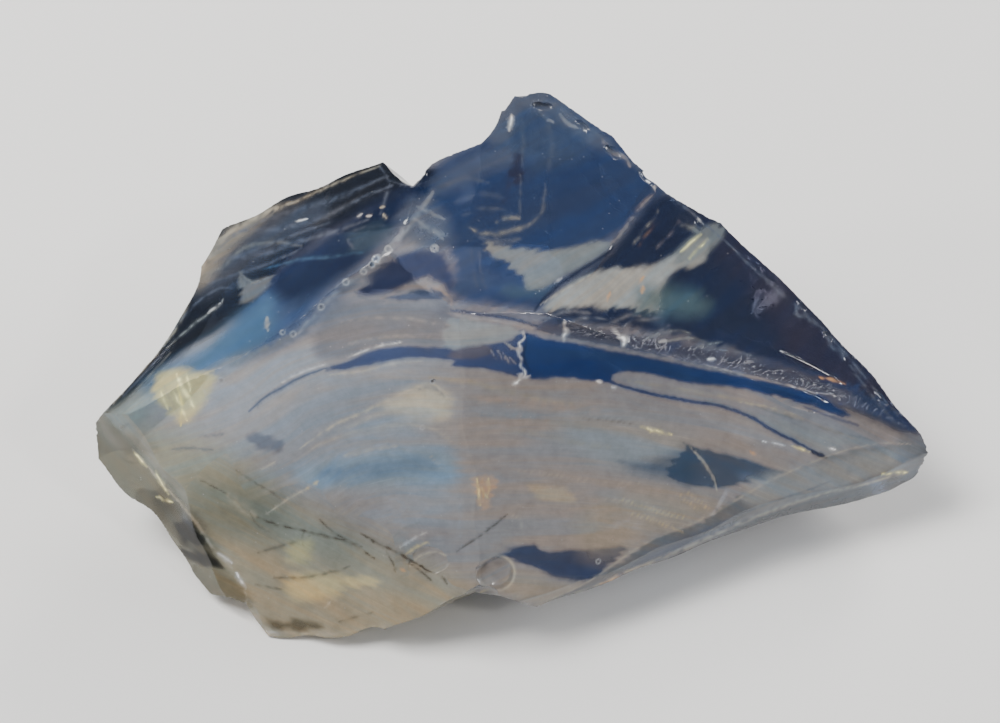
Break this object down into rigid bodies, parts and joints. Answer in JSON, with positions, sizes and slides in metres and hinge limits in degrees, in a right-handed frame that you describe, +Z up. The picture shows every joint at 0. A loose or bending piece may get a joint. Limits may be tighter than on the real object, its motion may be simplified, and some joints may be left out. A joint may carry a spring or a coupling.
{
  "type": "slag glass chunk",
  "caption": "Broken chunk of milky blue slag glass with conchoidal fracture faces, a pointed crest and chipped, thin see-through rims.",
  "frame": {"origin": "a point in the middle of the flat resting face, on the surface that the chunk stands on", "axes": "+X along the chunk's length to its pointed right tip, +Y away from the sloping front face, +Z up"},
  "size_m": [0.1028, 0.0566, 0.0405],
  "materials": {
    "slag_glass": "glossy milky glass, blue where it scatters light and warm where light comes through"
  },
  "bodies": {
    "root": {"glass_chunk": "slag_glass"}
  },
  "joints": []
}
